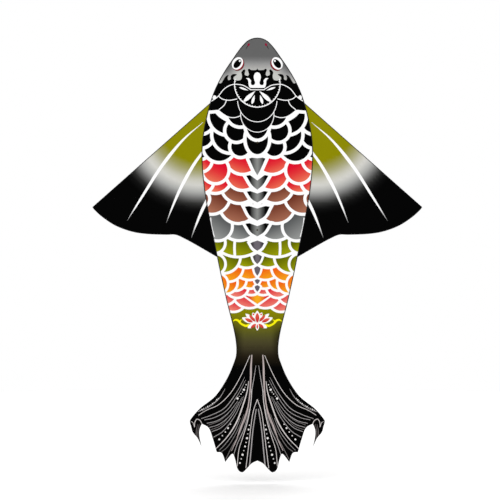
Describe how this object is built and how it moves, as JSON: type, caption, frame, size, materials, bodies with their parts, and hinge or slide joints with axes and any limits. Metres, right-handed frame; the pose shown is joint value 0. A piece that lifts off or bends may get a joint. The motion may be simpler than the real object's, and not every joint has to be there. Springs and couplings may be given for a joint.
{
  "type": "carp kite",
  "caption": "Flat fish-shaped kite with a printed cloth body, two folding wings, a free cloth tail and a rod frame on its back.",
  "frame": {"origin": "where the spine and the spreader cross, in the plane of the body cloth, which the bridle's upper leg is tied at", "axes": "+Z towards the nose, -Y out of the printed face, +X to the right as the printed face is seen"},
  "size_m": [1.215, 0.0153, 1.6],
  "materials": {
    "body_print": "satin",
    "wing_print": "satin",
    "tail_print": "satin",
    "black_tape": "matte",
    "rod": "satin",
    "vinyl": "satin",
    "ferrule_metal": "satin",
    "eyelet_metal": "satin"
  },
  "bodies": {
    "body": {"body_sail": "body_print", "eyelet_patch_upper": "black_tape", "eyelet_patch_lower": "black_tape", "bridle_eyelet_upper": "eyelet_metal", "bridle_eyelet_lower": "eyelet_metal", "spine_upper": "rod", "spine_lower": "rod", "spine_ferrule": "ferrule_metal", "spine_cap_top": "vinyl", "spine_cap_foot": "vinyl", "nose_pocket": "black_tape", "spine_foot_pocket": "black_tape", "spine_loop_1": "black_tape", "spine_loop_2": "black_tape", "spine_loop_3": "black_tape", "spine_loop_4": "black_tape", "spine_loop_5": "black_tape", "centre_fitting": "vinyl", "centre_spreader": "rod", "head_fitting": "vinyl", "head_strut_left": "rod", "head_strut_right": "rod", "shoulder_tube_left": "vinyl", "shoulder_tube_right": "vinyl", "strut_loop_left": "black_tape", "strut_loop_right": "black_tape", "spreader_tube_left": "vinyl", "spreader_tube_right": "vinyl", "tail_batten": "rod", "batten_sleeve": "black_tape"},
    "wing_left": {"wing_sail_left": "wing_print", "leading_edge_rod_left": "rod", "wing_tip_cap_left": "vinyl", "edge_sleeve_inner_left": "black_tape", "edge_sleeve_outer_left": "black_tape", "wing_tip_pocket_left": "black_tape", "edge_connector_left": "vinyl", "outer_spreader_left": "rod", "edge_stopper_upper_left": "vinyl", "edge_stopper_lower_left": "vinyl"},
    "wing_right": {"wing_sail_right": "wing_print", "leading_edge_rod_right": "rod", "wing_tip_cap_right": "vinyl", "edge_sleeve_inner_right": "black_tape", "edge_sleeve_outer_right": "black_tape", "wing_tip_pocket_right": "black_tape", "edge_connector_right": "vinyl", "outer_spreader_right": "rod", "edge_stopper_upper_right": "vinyl", "edge_stopper_lower_right": "vinyl"},
    "tail": {"tail_sail": "tail_print", "tail_header_tape": "black_tape"}
  },
  "joints": [
    {"name": "wing_fold_left", "type": "hinge", "parent": "body", "child": "wing_left", "pos_m": [-0.15625, 0.0008, -0.11006], "axis": [0.0482, 0, -0.9988], "range_deg": [0, 90], "stiffness_Nm_per_rad": 0.1},
    {"name": "wing_fold_right", "type": "hinge", "parent": "body", "child": "wing_right", "pos_m": [0.15625, 0.0008, -0.11006], "axis": [0.0482, 0, 0.9988], "range_deg": [0, 90], "stiffness_Nm_per_rad": 0.1},
    {"name": "tail_wave", "type": "hinge", "parent": "body", "child": "tail", "pos_m": [0, 0, -0.725], "axis": [1, 0, 0], "range_deg": [-60, 60]}
  ]
}
